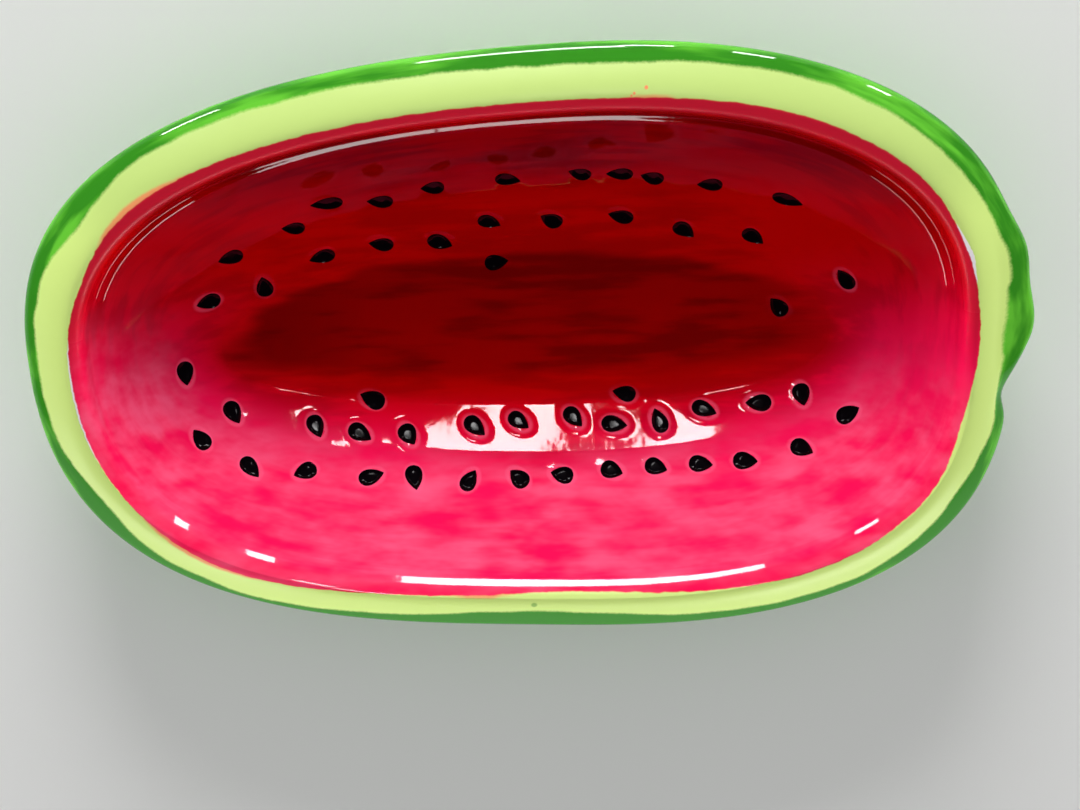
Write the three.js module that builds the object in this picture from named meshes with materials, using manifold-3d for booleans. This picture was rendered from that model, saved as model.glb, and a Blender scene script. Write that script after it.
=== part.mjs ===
// A glazed ceramic serving bowl, moulded and painted as a long watermelon that has been halved and
// hollowed. It is one fired piece: a broad sloping rind rim with a rolled edge, a short lip, a hollow
// with a creased wall and a flat oval floor, melon seeds pressed into the flesh, a leaf that swells
// from the rind at the stem end, and an oval foot ring.
//
// Millimetres. +X runs along the length towards the stem end, +Y across, +Z up out of the bowl.
// The origin is the middle of the outline seen from above, on the table under the foot.
import * as THREE from "three";
import { mergeVertices } from "three/addons/utils/BufferGeometryUtils.js";
import Module from "manifold-3d";

// ---- Driving dimensions -----------------------------------------------------------------------
const LENGTH = 370; // over the rolled edge, without the leaf
const WIDTH = 230; // over the rolled edge
const HEIGHT = 58; // table to the crest of the rim

const FLOOR_LENGTH = 234; // the flat oval inside
const FLOOR_WIDTH = 68;
const FLOOR_TOP = 12; // table to the inside floor
const FLOOR_DROOP = 8; // how far the floor's two ends bend towards the front, -Y

const BAND_OUT = 18; // the first sloping band, from the floor's edge out to the crease
const BAND_RISE = 8;
const WALL_FOOT_SLOPE = 0.5; // rise over run where the wall leaves the crease
const WALL_HEAD_SLOPE = 1; // and where it meets the foot of the lip
const LIP_FOOT_IN = 28; // from the rolled edge in to the foot of the lip
const LIP_FOOT_DROP = 12; // from the crest down to the foot of the lip
const LIP_OUT = 5; // the steep part of the lip, out and up
const LIP_RISE = 8;

const CREST_IN = 17.5; // from the rolled edge in to the crest of the rim
const ROLL_RADIUS = 4.6; // the rolled outer edge
const ROLL_DROP = 13.5; // from the crest down to the widest point of the roll
const ROLL_FROM = 52; // degrees above level where the rim runs into the roll
const ROLL_TO = -20; // degrees below level where the roll runs into the rind

const CREST_PULL = 4; // how far each curve holds its direction where it starts or ends
const SLOPE_PULL = 4.6;
const BELLY_PULL = 8;
const HAUNCH_IN = 37; // from the rolled edge in to where the rind turns under
const HAUNCH_HEIGHT = 15.5;
const HAUNCH_SLOPE = 25; // degrees
const HAUNCH_PULL_UP = 22;
const HAUNCH_PULL_DOWN = 13;
const FOOT_PULL = 10;

const FOOT_WIDTH = 88; // over the foot ring
const FOOT_RING = 5; // width of the ring that touches the table
const FOOT_FLARE = 1.6; // how much wider the ring is where it leaves the bowl
const FOOT_RISE = 4; // recess under the floor, inside the ring

const SEED_LENGTH = 9.6;
const SEED_WIDTH = 6.4;
const SEED_DEPTH = 1.1; // how deep a seed is pressed in
const SEED_TAPER = 0.9; // how sharply a seed narrows to its tip
const SEED_FILL = 1.27; // makes up the width that the taper takes away
const CUTTER_HEIGHT = 4; // enough to stand clear of the curved surface over a seed

// ---- Fineness of the facets ---------------------------------------------------------------------
const AROUND = 88; // facets round the bowl
const FLOOR_STEPS = 4;
const BAND_STEPS = 2;
const WALL_STEPS = 6;
const LIP_STEPS = 4;
const RIM_STEPS = 4;
const ROLL_STEPS = 4;
const RIND_STEPS = 6;
const HAUNCH_STEPS = 4;
const RECESS_STEPS = 2;
const SEED_SIDES = 11;
const TINY = 1e-3; // corners closer than this are one

// ---- The plan: how a ring of the section becomes a long rounded outline ---------------------------
const RIM_SQUARENESS = 2.58; // exponent of the superellipse; 2 would be a plain ellipse
const FLOOR_SQUARENESS = 2.1;
const EGG = 0.023; // the stem end is blunt and the other end long
const WANDER = 0.006; // slow unevenness of the hand-finished outline
const WANDER_WAVES = 5;
const WANDER_BEARING = THREE.MathUtils.degToRad(15);

const EDGE = WIDTH / 2;
const CREST = EDGE - CREST_IN;
const FLOOR_EDGE = FLOOR_WIDTH / 2;
const RIM_REACH = (LENGTH - WIDTH) / 2; // how much further the rim goes at the ends than at the sides
const FLOOR_REACH = (FLOOR_LENGTH - FLOOR_WIDTH) / 2;

// Where the ring that is r from the middle at the sides passes at a bearing, seen from above.
function planPoint(bearing, r, droop) {
  const wall = THREE.MathUtils.clamp((r - FLOOR_EDGE) / (CREST - FLOOR_EDGE), 0, 1);
  const floor = Math.min(r / FLOOR_EDGE, 1);
  const power = THREE.MathUtils.lerp(FLOOR_SQUARENESS, RIM_SQUARENESS, wall);
  const reach = THREE.MathUtils.lerp(FLOOR_REACH, RIM_REACH, wall) * floor;
  const along = Math.cos(bearing);
  const across = Math.sin(bearing);
  const square = (Math.abs(along) ** power + Math.abs(across) ** power) ** (-1 / power);
  const wander = WANDER * Math.cos(WANDER_WAVES * (bearing - WANDER_BEARING)) * wall;
  const size = square * (1 - EGG * Math.cos(3 * bearing) + wander);
  const bend = droop * (1 - wall) ** 2 * floor * (along * square) ** 2;
  return new THREE.Vector2((r + reach) * along * size, r * across * size - bend);
}

// ---- The leaf that swells from the rind at the stem end -------------------------------------------
// Each lobe: its place across the end of the bowl, how far it stands out, and its reach either way.
const LEAF_LOBES = [
  { at: 4, out: 6.6, front: 15, back: 19 },
  { at: 33, out: 3.4, front: 12, back: 12 },
  { at: -24, out: -3.2, front: 7, back: 9 },
];
const LEAF_START = EDGE - 9; // the swelling starts on the rim, this far from the middle
const LEAF_TIP = 9; // and it fades out at this height on the rind

function leafSwelling(y, share) {
  let swelling = 0;
  for (const lobe of LEAF_LOBES) {
    const reach = y > lobe.at ? lobe.back : lobe.front;
    swelling += lobe.out * Math.exp(-(((y - lobe.at) / reach) ** 2));
  }
  return swelling * share;
}

// ---- The section, from the middle of the floor over the rim to the middle of the underside --------
function insideSection() {
  const crease = new THREE.Vector2(FLOOR_EDGE + BAND_OUT, FLOOR_TOP + BAND_RISE);
  const lipFoot = new THREE.Vector2(EDGE - LIP_FOOT_IN, HEIGHT - LIP_FOOT_DROP);
  const lipHead = new THREE.Vector2(lipFoot.x + LIP_OUT, lipFoot.y + LIP_RISE);
  const path = new THREE.Path();
  path.moveTo(0, FLOOR_TOP);
  path.lineTo(FLOOR_EDGE, FLOOR_TOP);
  path.lineTo(crease.x, crease.y);
  const bend = crossing(crease, WALL_FOOT_SLOPE, lipFoot, WALL_HEAD_SLOPE);
  path.quadraticCurveTo(bend.x, bend.y, lipFoot.x, lipFoot.y);
  path.lineTo(lipHead.x, lipHead.y);
  const corner = crossing(lipHead, LIP_RISE / LIP_OUT, new THREE.Vector2(CREST, HEIGHT), 0);
  path.quadraticCurveTo(corner.x, corner.y, CREST, HEIGHT);
  return sampled(path, [FLOOR_STEPS, BAND_STEPS, WALL_STEPS, 1, LIP_STEPS]);
}

function outsideSection() {
  const rollMiddle = new THREE.Vector2(EDGE - ROLL_RADIUS, HEIGHT - ROLL_DROP);
  const from = THREE.MathUtils.degToRad(ROLL_FROM);
  const to = THREE.MathUtils.degToRad(ROLL_TO);
  const rollStart = rollMiddle.clone().add(ray(ROLL_RADIUS, from));
  const rollEnd = rollMiddle.clone().add(ray(ROLL_RADIUS, to));
  const shoulder = new THREE.Vector2(CREST + CREST_PULL, HEIGHT);
  const slope = rollStart.clone().add(ray(SLOPE_PULL, from + Math.PI / 2));
  const belly = rollEnd.clone().add(ray(BELLY_PULL, to - Math.PI / 2));
  const tilt = THREE.MathUtils.degToRad(HAUNCH_SLOPE);
  const haunch = new THREE.Vector2(EDGE - HAUNCH_IN, HAUNCH_HEIGHT);
  const above = haunch.clone().add(ray(HAUNCH_PULL_UP, tilt));
  const below = haunch.clone().sub(ray(HAUNCH_PULL_DOWN, tilt));
  const footHead = new THREE.Vector2(FOOT_WIDTH / 2 + FOOT_FLARE, FOOT_RISE);
  const path = new THREE.Path();
  path.moveTo(CREST, HEIGHT);
  path.bezierCurveTo(shoulder.x, shoulder.y, slope.x, slope.y, rollStart.x, rollStart.y);
  path.absarc(rollMiddle.x, rollMiddle.y, ROLL_RADIUS, from, to, true);
  path.bezierCurveTo(belly.x, belly.y, above.x, above.y, haunch.x, haunch.y);
  path.bezierCurveTo(below.x, below.y, footHead.x + FOOT_PULL, FOOT_RISE, footHead.x, FOOT_RISE);
  path.lineTo(FOOT_WIDTH / 2, 0);
  path.lineTo(FOOT_WIDTH / 2 - FOOT_RING, 0);
  path.lineTo(FOOT_WIDTH / 2 - FOOT_RING - FOOT_FLARE, FOOT_RISE);
  path.lineTo(0, FOOT_RISE);
  return sampled(path, [RIM_STEPS, ROLL_STEPS, RIND_STEPS, HAUNCH_STEPS, 1, 1, 1, RECESS_STEPS]);
}

// A step of a given length at an angle above level.
function ray(length, angle) {
  return new THREE.Vector2(length * Math.cos(angle), length * Math.sin(angle));
}

// Where two lines meet, each given by a point and its slope.
function crossing(p, slopeP, q, slopeQ) {
  const x = (q.y - p.y + slopeP * p.x - slopeQ * q.x) / (slopeP - slopeQ);
  return new THREE.Vector2(x, p.y + slopeP * (x - p.x));
}

// Points along a path, each of its curves cut into its own number of steps.
function sampled(path, steps) {
  const points = [path.curves[0].getPoint(0)];
  let next = 0;
  for (const curve of path.curves) {
    if (curve.getLength() < TINY) continue;
    points.push(...curve.getPoints(steps[next]).slice(1));
    next += 1;
  }
  return points;
}

// ---- The bowl as a round turning, bent to the plan and given its leaf ------------------------------
const INSIDE = insideSection();
const OUTSIDE = outsideSection();
const ROLL_MIDDLE = RIM_STEPS + ROLL_STEPS / 2; // the outside point at the widest part of the roll

function bowlPoint(bearing, step) {
  const onRim = step < INSIDE.length;
  const point = onRim ? INSIDE[step] : OUTSIDE[step - INSIDE.length + 1];
  const above = step < INSIDE.length + ROLL_MIDDLE;
  const plan = planPoint(bearing, point.x, onRim ? FLOOR_DROOP : 0);
  const share = above
    ? THREE.MathUtils.smoothstep(point.x, LEAF_START, EDGE)
    : THREE.MathUtils.smoothstep(point.y, LEAF_TIP, HEIGHT - ROLL_DROP);
  if (plan.x > 0) plan.x += leafSwelling(plan.y, share);
  return new THREE.Vector3(plan.x, plan.y, point.y);
}

// The lathe turns the section from the underside up, so that the faces point out.
function bowlGeometry() {
  const profile = [...INSIDE, ...OUTSIDE.slice(1)].reverse();
  const turned = new THREE.LatheGeometry(profile, AROUND);
  const place = turned.getAttribute("position");
  for (let i = 0; i < place.count; i += 1) {
    const turn = Math.floor(i / profile.length) / AROUND;
    const point = bowlPoint(turn * 2 * Math.PI, profile.length - 1 - (i % profile.length));
    place.setXYZ(i, point.x, point.y, point.z);
  }
  return turned;
}

// ---- The pressed seeds -------------------------------------------------------------------------
// Each seed: its bearing in degrees, the ring it lies on, the way its tip points seen from above, in
// degrees from +X, and how much longer than the rest it is, where it is.
const SEEDS_BY_THE_WALL = [
  [144, 57, -169], [130, 57, 168], [122, 63, 178, 1.25], [114, 58, 168], [105, 60, 179],
  [93, 60, -19], [82, 61, 153], [76, 61, 178], [71, 60, 158], [62, 60, -176],
  [49, 62, -19, 1.25], [22, 48, 125], [326, 62, 27], [313, 64, -30], [303, 62, -8],
  [296, 60, -10], [289, 59, -23], [282, 59, -23], [274, 60, 164], [267, 61, 130],
  [259, 62, 62], [250, 62, -85], [243, 63, 20], [232, 65, -156], [223, 69, -62],
  [211, 68, 118], [191, 54, -93], [159, 48, -171],
];
const SEEDS_BY_THE_FLOOR = [
  [146, 39, 100], [130, 41, -164], [118, 39, 165], [107, 35, -26], [97, 41, -28],
  [86, 40, 146], [74, 42, 162], [62, 39, -45], [49, 43, -42], [16, 29, 130],
  [322, 46, -75], [312, 43, 178], [301, 41, -24], [292, 43, 108], [284, 43, -10],
  [277, 40, -52], [267, 41, -40], [259, 43, -47], [247, 47, -63], [238, 48, -36],
  [229, 48, -73], [211, 53, -71],
];
const STRAY_SEEDS = [[99, 24, 6], [237, 34, 156], [288, 32, 167]];

// The inside surface at a bearing and a ring, between the points of the section.
function insidePoint(bearing, r) {
  const next = Math.max(INSIDE.findIndex((point) => point.x > r), 1);
  const share = (r - INSIDE[next - 1].x) / (INSIDE[next].x - INSIDE[next - 1].x);
  const height = THREE.MathUtils.lerp(INSIDE[next - 1].y, INSIDE[next].y, share);
  const plan = planPoint(bearing, r, FLOOR_DROOP);
  return new THREE.Vector3(plan.x, plan.y, height);
}

// The outline of a seed: round at one end, drawn to a point at the other, along +X.
function seedShape(stretch) {
  const points = [];
  for (let i = 0; i < SEED_SIDES; i += 1) {
    const turn = (2 * Math.PI * i) / SEED_SIDES;
    const fullness = SEED_FILL * Math.sin(turn / 2) ** SEED_TAPER;
    const x = (SEED_LENGTH / 2) * stretch * Math.cos(turn);
    const y = (SEED_WIDTH / 2) * fullness * Math.sin(turn);
    points.push(new THREE.Vector2(x, y));
  }
  return new THREE.Shape(points);
}

// A prism that stands on the floor of a seed's pocket and reaches up out of the surface.
function seedCutter([degrees, r, tip, stretch = 1]) {
  const bearing = THREE.MathUtils.degToRad(degrees);
  const middle = insidePoint(bearing, r);
  const outward = insidePoint(bearing, r + 1).sub(insidePoint(bearing, r - 1));
  const around = insidePoint(bearing + 1 / r, r).sub(insidePoint(bearing - 1 / r, r));
  const normal = outward.cross(around).normalize();
  const heading = THREE.MathUtils.degToRad(tip);
  const forward = new THREE.Vector3(Math.cos(heading), Math.sin(heading), 0);
  forward.addScaledVector(normal, -forward.dot(normal)).normalize();
  const side = normal.clone().cross(forward);
  const form = { depth: CUTTER_HEIGHT, bevelEnabled: false };
  const cutter = new THREE.ExtrudeGeometry(seedShape(stretch), form);
  cutter.translate(0, 0, -SEED_DEPTH);
  cutter.applyMatrix4(new THREE.Matrix4().makeBasis(forward, side, normal).setPosition(middle));
  return cutter;
}

// ---- Joining -----------------------------------------------------------------------------------
const wasm = await Module();
wasm.setup();

function toSolid(geometry) {
  const bare = new THREE.BufferGeometry();
  bare.setAttribute("position", geometry.getAttribute("position"));
  bare.setIndex(geometry.index);
  const merged = mergeVertices(bare, TINY);
  const corners = merged.index.array;
  const kept = [];
  for (let i = 0; i < corners.length; i += 3) {
    const [a, b, c] = corners.slice(i, i + 3);
    if (a !== b && b !== c && c !== a) kept.push(a, b, c);
  }
  const vertProperties = merged.getAttribute("position").array;
  const triVerts = new Uint32Array(kept);
  return new wasm.Manifold(new wasm.Mesh({ numProp: 3, vertProperties, triVerts }));
}

function toGeometry(solid) {
  const mesh = solid.getMesh();
  const geometry = new THREE.BufferGeometry();
  geometry.setAttribute("position", new THREE.BufferAttribute(mesh.vertProperties, 3));
  geometry.setIndex(new THREE.BufferAttribute(mesh.triVerts, 1));
  geometry.computeVertexNormals();
  return geometry;
}

function makeBowl() {
  let solid = toSolid(bowlGeometry());
  for (const seed of [...SEEDS_BY_THE_WALL, ...SEEDS_BY_THE_FLOOR, ...STRAY_SEEDS]) {
    solid = solid.subtract(toSolid(seedCutter(seed)));
  }
  const geometry = toGeometry(solid);
  geometry.computeBoundingBox();
  const middle = geometry.boundingBox.getCenter(new THREE.Vector3());
  geometry.translate(-middle.x, -middle.y, 0);
  const glaze = new THREE.MeshStandardMaterial({ color: 0xd1143c, roughness: 0.12, metalness: 0 });
  const bowl = new THREE.Mesh(geometry, glaze);
  bowl.name = "bowl";
  return bowl;
}

const watermelonBowl = new THREE.Group();
watermelonBowl.add(makeBowl());

export default watermelonBowl;
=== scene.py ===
import math

import bpy
import numpy as np
from mathutils import Matrix, Vector


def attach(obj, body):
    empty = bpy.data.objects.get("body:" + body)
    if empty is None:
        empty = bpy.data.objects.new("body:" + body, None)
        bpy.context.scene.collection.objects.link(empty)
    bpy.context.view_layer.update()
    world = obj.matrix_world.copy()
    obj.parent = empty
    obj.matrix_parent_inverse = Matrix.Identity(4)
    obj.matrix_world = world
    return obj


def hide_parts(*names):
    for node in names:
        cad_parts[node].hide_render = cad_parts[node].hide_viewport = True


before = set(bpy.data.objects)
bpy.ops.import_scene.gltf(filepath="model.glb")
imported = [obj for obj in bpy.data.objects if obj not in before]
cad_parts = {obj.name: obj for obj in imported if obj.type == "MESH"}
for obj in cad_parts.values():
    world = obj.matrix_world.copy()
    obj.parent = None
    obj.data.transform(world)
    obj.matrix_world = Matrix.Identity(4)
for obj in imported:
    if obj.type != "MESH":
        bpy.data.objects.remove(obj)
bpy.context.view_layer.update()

# ---- The glazed bowl: its section ---------------------------------------------------------------
# A heavy serving bowl of white earthenware in the form of a long melon, halved and hollowed. It is
# cast in one piece in a plaster mould. Its section runs from a flat floor over a creased wall and a
# short lip to a sloping rim with a rolled edge, and back under the rind to an oval foot ring.

# IN and OUT are measured across the bowl and RISE and DROP upright. A PULL is how far off a curve's
# end its control point lies.
LENGTH = 0.370  # over the rolled edge, without the leaf
WIDTH = 0.230
HEIGHT = 0.058
FLOOR_LENGTH = 0.234
FLOOR_WIDTH = 0.068
FLOOR_TOP = 0.012
BAND_OUT = 0.018  # the sloping band from the floor's edge out to the crease
BAND_RISE = 0.008
WALL_FOOT_SLOPE = 0.5
WALL_HEAD_SLOPE = 0.95
LIP_FOOT_IN = 0.0255
LIP_FOOT_DROP = 0.0096
LIP_OUT = 0.0039
LIP_RISE = 0.0080
LIP_FOOT_SLOPE = 3.2
LIP_HEAD_SLOPE = 1.05
LEDGE_OUT = 0.0034  # a narrow ledge at the lip's foot
LEDGE_SLOPE = 0.675
NEAR_LIP_IN = 0.0225  # on the near side the wall runs into a gentler lip, without a ledge
NEAR_LIP_OUT = 0.0015
NEAR_LIP_RISE = 0.0022
NEAR_LIP_HEAD_SLOPE = 1.02
NEAR_SPARE = 0.002  # how far past the crest the near side's own section is drawn
CREST_IN = 0.0175  # the crest is the rim's highest line, where the lip ends
CREST_PULL = 0.004
ROLL_RADIUS = 0.0046  # the rolled edge
ROLL_DROP = 0.0135
ROLL_FROM = math.radians(52)
ROLL_TO = math.radians(-20)
SLOPE_PULL = 0.0046
BELLY_PULL = 0.008
HAUNCH_IN = 0.037  # where the rind turns under towards the foot
HAUNCH_HEIGHT = 0.0155
HAUNCH_SLOPE = math.radians(25)
HAUNCH_PULL_UP = 0.022
HAUNCH_PULL_DOWN = 0.013
FOOT_PULL = 0.010
FOOT_WIDTH = 0.088
FOOT_RING = 0.005
FOOT_FLARE = 0.0016
FOOT_RISE = 0.004

EDGE = WIDTH / 2
CREST = EDGE - CREST_IN
FLOOR_EDGE = FLOOR_WIDTH / 2
FOOT_EDGE = FOOT_WIDTH / 2

DRAWN_STEP = 0.0002  # the section is drawn this fine before its rings are chosen
ROUNDING = 0.0011  # how far glaze and sponge round each of its corners

# How far apart the mesh's rings lie, against their way along the section from the floor's middle.
RING_SPACING = [
    (0, 0.0036), (0.018, 0.0030), (0.024, 0.0011), (0.072, 0.0011), (0.080, 0.0016),
    (0.092, 0.0013), (0.098, 0.0008), (0.118, 0.0010), (0.130, 0.0012), (0.140, 0.0008),
    (0.148, 0.0009), (0.160, 0.0026), (0.205, 0.0026), (0.222, 0.0012), (0.236, 0.0010),
    (0.244, 0.0040), (0.290, 0.0050),
]


def pulled(steps, *points):
    """The line, quadratic or cubic curve that a few control points pull to."""
    t = np.linspace(0, 1, steps + 1)[:, None]
    order = len(points) - 1
    return sum(
        math.comb(order, i) * (1 - t) ** (order - i) * t**i * np.asarray(points[i], float)
        for i in range(order + 1)
    )


def ray(length, angle):
    """A step of some length at an angle over the level."""
    return np.array([length * math.cos(angle), length * math.sin(angle)])


def crossing(p, slope_p, q, slope_q):
    """Where two lines meet, each given by a point and its slope."""
    x = (q[1] - p[1] + slope_p * p[0] - slope_q * q[0]) / (slope_p - slope_q)
    return np.array([x, p[1] + slope_p * (x - p[0])])


def inside_curves(near=False):
    """From the floor's middle to the crest, on the far side or on the near one."""
    crease = np.array([FLOOR_EDGE + BAND_OUT, FLOOR_TOP + BAND_RISE])
    lip_foot = np.array([EDGE - LIP_FOOT_IN, HEIGHT - LIP_FOOT_DROP])
    ledge = lip_foot - (LEDGE_OUT, LEDGE_OUT * LEDGE_SLOPE)
    lip_head = lip_foot + (LIP_OUT, LIP_RISE)
    crest = np.array([CREST, HEIGHT])
    bend = crossing(crease, WALL_FOOT_SLOPE, ledge, WALL_HEAD_SLOPE)
    wall = [
        pulled(60, (0, FLOOR_TOP), (FLOOR_EDGE, FLOOR_TOP)),
        pulled(40, (FLOOR_EDGE, FLOOR_TOP), crease),
        pulled(80, crease, bend, ledge),
    ]
    if near:
        further = EDGE - NEAR_LIP_IN - ledge[0]
        lip_foot = ledge + (further, further * WALL_HEAD_SLOPE)
        lip_head = lip_foot + (NEAR_LIP_OUT, NEAR_LIP_RISE)
        corner = crossing(lip_head, NEAR_LIP_HEAD_SLOPE, crest, 0)
        lip = [pulled(10, lip_foot, lip_head), pulled(20, lip_head, corner, crest)]
        return [*wall, pulled(10, ledge, lip_foot), *lip]
    lip_bend = crossing(lip_foot, LIP_FOOT_SLOPE, lip_head, LIP_HEAD_SLOPE)
    corner = crossing(lip_head, LIP_HEAD_SLOPE, crest, 0)
    lip = [pulled(20, lip_foot, lip_bend, lip_head), pulled(20, lip_head, corner, crest)]
    return [*wall, pulled(10, ledge, lip_foot), *lip]


def rim_curves():
    """From the crest to the widest point of the rolled edge."""
    middle = np.array([EDGE - ROLL_RADIUS, HEIGHT - ROLL_DROP])
    crest = np.array([CREST, HEIGHT])
    start = middle + ray(ROLL_RADIUS, ROLL_FROM)
    slope = start + ray(SLOPE_PULL, ROLL_FROM + math.pi / 2)
    turns = np.linspace(ROLL_FROM, 0, 19)
    return [
        pulled(50, crest, crest + (CREST_PULL, 0), slope, start),
        np.array([middle + ray(ROLL_RADIUS, turn) for turn in turns]),
    ]


def rind_curves():
    """From the widest point under the rind and round the foot ring to the middle below."""
    middle = np.array([EDGE - ROLL_RADIUS, HEIGHT - ROLL_DROP])
    turns = np.linspace(0, ROLL_TO, 8)
    end = middle + ray(ROLL_RADIUS, ROLL_TO)
    belly = end + ray(BELLY_PULL, ROLL_TO - math.pi / 2)
    haunch = np.array([EDGE - HAUNCH_IN, HAUNCH_HEIGHT])
    above = haunch + ray(HAUNCH_PULL_UP, HAUNCH_SLOPE)
    below = haunch - ray(HAUNCH_PULL_DOWN, HAUNCH_SLOPE)
    foot_head = np.array([FOOT_EDGE + FOOT_FLARE, FOOT_RISE])
    foot_in = FOOT_EDGE - FOOT_RING
    recess = (foot_in - FOOT_FLARE, FOOT_RISE)
    return [
        np.array([middle + ray(ROLL_RADIUS, turn) for turn in turns]),
        pulled(90, end, belly, above, haunch),
        pulled(60, haunch, below, foot_head + (FOOT_PULL, 0), foot_head),
        pulled(12, foot_head, (FOOT_EDGE, 0)),
        pulled(12, (FOOT_EDGE, 0), (foot_in, 0)),
        pulled(12, (foot_in, 0), recess),
        pulled(50, recess, (0, FOOT_RISE)),
    ]


def way_along(points):
    """How far along a line each of its points lies."""
    return np.concatenate([[0], np.cumsum(np.hypot(*np.diff(points, axis=0).T))])


def picked(at, way, points):
    """The line's points at some distances along it."""
    return np.column_stack([np.interp(at, way, points[:, i]) for i in (0, 1)])


def joined(curves):
    """One line from curves that each start where the last one ends."""
    return np.vstack([curves[0][:1]] + [curve[1:] for curve in curves])


def rounded(points):
    """Averages the drawn section over a short window, mirrored over the axis at both ends."""
    reach = int(ROUNDING / DRAWN_STEP)
    weights = np.hanning(2 * reach + 3)[1:-1]
    before = points[reach:0:-1] * (-1, 1)
    after = points[-2 : -reach - 2 : -1] * (-1, 1)
    padded = np.vstack([before, points, after])
    smooth = [np.convolve(padded[:, i], weights / weights.sum(), "valid") for i in (0, 1)]
    return np.column_stack(smooth)


inside, rim, rind = inside_curves(), rim_curves(), rind_curves()
drawn = joined(inside + rim + rind)
fine_way = np.arange(0, way_along(drawn)[-1], DRAWN_STEP)
fine = rounded(picked(fine_way, way_along(drawn), drawn))
fine[[0, -1], 0] = 0
CREST_AT = way_along(joined(inside))[-1]  # how far along the section the crest is
ROLL_AT = way_along(joined(inside + rim))[-1]
FOOT_HEAD_AT = way_along(joined(inside + rim + rind[:3]))[-1]
RECESS_AT = way_along(joined(inside + rim + rind[:6]))[-1]

ring_count = np.cumsum(DRAWN_STEP / np.interp(fine_way, *zip(*RING_SPACING)))
ROWS = int(ring_count[-1])
ring_way = np.interp(np.linspace(ring_count[0], ring_count[-1], ROWS), ring_count, fine_way)
section = picked(ring_way, fine_way, fine)

# The same rings' heights on the near side.
near_drawn = joined(inside_curves(near=True) + rim)
near_way = np.arange(0, way_along(near_drawn)[-1], DRAWN_STEP)
near_fine = rounded(picked(near_way, way_along(near_drawn), near_drawn))
near_fine = near_fine[near_way < CREST_AT + NEAR_SPARE]
near_fine[0, 0] = 0
near_heights = np.interp(section[:, 0], near_fine[:, 0], near_fine[:, 1])
near_heights = np.where(ring_way < CREST_AT, near_heights, section[:, 1])

# ---- The glazed bowl: its pressed seeds ---------------------------------------------------------
# Each seed is pressed into the soft clay of the hollow with a small teardrop stamp and painted
# black before the clear glaze goes on. The stamp leaves a bevelled pocket with a flat bottom, and
# the clay round it dips a little towards it.

SEED_LENGTH = 0.0096
SEED_WIDTH = 0.0067
SEED_DEPTH = 0.0011
SEED_TAPER = 0.75  # how sharply a seed narrows to its tip
SEED_FILL = 1.24  # makes up the width that the taper takes away
SEED_SIDES = 40
STAMP_HEIGHT = 0.0020

# The stamp's own section: share of the seed's outline, and height as a share of the depth.
STAMP_PROFILE = [
    (0, STAMP_HEIGHT / SEED_DEPTH), (1.03, STAMP_HEIGHT / SEED_DEPTH), (1, 0.04), (0.97, -0.06),
    (0.9, -0.22), (0.63, -0.9), (0.56, -0.98), (0.35, -1), (0, -1),
]

# Each seed: its bearing in degrees, the ring that it lies on in millimetres, which way its tip
# points in degrees, and how much longer than the rest it is, where it is.
SEEDS_BY_THE_WALL = [
    (144, 57, -169), (130, 57, 168), (122, 63, 178, 1.25), (114, 58, 168), (105, 60, 179),
    (93, 60, -19), (82, 61, 153), (76, 61, 178), (71, 60, 158), (62, 60, -176),
    (49, 62, -19, 1.25), (22, 48, 125), (326, 62, 27), (313, 64, -30), (303, 62, -8),
    (296, 60, -10), (289, 59, -23), (282, 59, -23), (274, 60, 164), (267, 61, 130),
    (259, 62, 62), (250, 62, -85), (243, 63, 20), (232, 65, -156), (223, 69, -62),
    (211, 68, 118), (191, 54, -93), (159, 48, -171),
]
SEEDS_BY_THE_FLOOR = [
    (146, 39, 100), (130, 41, -164), (118, 39, 165), (107, 35, -26), (97, 41, -28),
    (86, 40, 146), (74, 42, 162), (62, 39, -45), (49, 43, -42), (16, 29, 130),
    (322, 46, -75), (312, 43, 178), (301, 41, -24), (292, 43, 108), (284, 43, -10),
    (277, 40, -52), (267, 41, -40), (259, 43, -47), (247, 47, -63), (238, 48, -36),
    (229, 48, -73), (211, 53, -71),
]
STRAY_SEEDS = [(99, 24, 6), (237, 34, 156), (288, 32, 167)]

seeds = SEEDS_BY_THE_WALL + SEEDS_BY_THE_FLOOR + STRAY_SEEDS
seed_rings = np.array([seed[1] for seed in seeds]) / 1000
hollow = fine[fine_way < CREST_AT]
seed_heights = np.interp(seed_rings, hollow[:, 0], hollow[:, 1])

# Every point of the drawing: its place, what it stands for, and the values that it carries.
SECTION, SEED, STAMP = 0, 1, 2
drawn_points = []
for (r, z), way, near_height in zip(section, ring_way, near_heights):
    drawn_points.append((r, 0, z, SECTION, way, 0, 0, 1, near_height))
for (bearing, _, tip, *longer), r, z in zip(seeds, seed_rings, seed_heights):
    stretch = longer[0] if longer else 1
    bearing, tip = math.radians(bearing), math.radians(tip)
    drawn_points.append((r, 0, z, SEED, 0, bearing, tip, stretch, 0))
for share, height in STAMP_PROFILE:
    drawn_points.append((share, 0, height * SEED_DEPTH, STAMP, 0, 0, 0, 1, 0))

DRAWN_VALUES = ("kind", "way", "bearing", "tip", "stretch", "near_height")
drawing = bpy.data.meshes.new("bowl_drawing")
drawing.from_pydata([point[:3] for point in drawn_points], [], [])
for column, name in enumerate(DRAWN_VALUES, start=3):
    values = drawing.attributes.new(name, "FLOAT", "POINT").data
    values.foreach_set("value", [point[column] for point in drawn_points])

# ---- The glazed bowl: its cast form -------------------------------------------------------------
# The mould bends the round section to a long superellipse with a blunt stem end, lets the floor's
# ends droop to one side and swells the rind into a leaf at the stem. A sponge and the thick glaze
# leave a slow unevenness. The seeds are stamped into the casting last.

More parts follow.
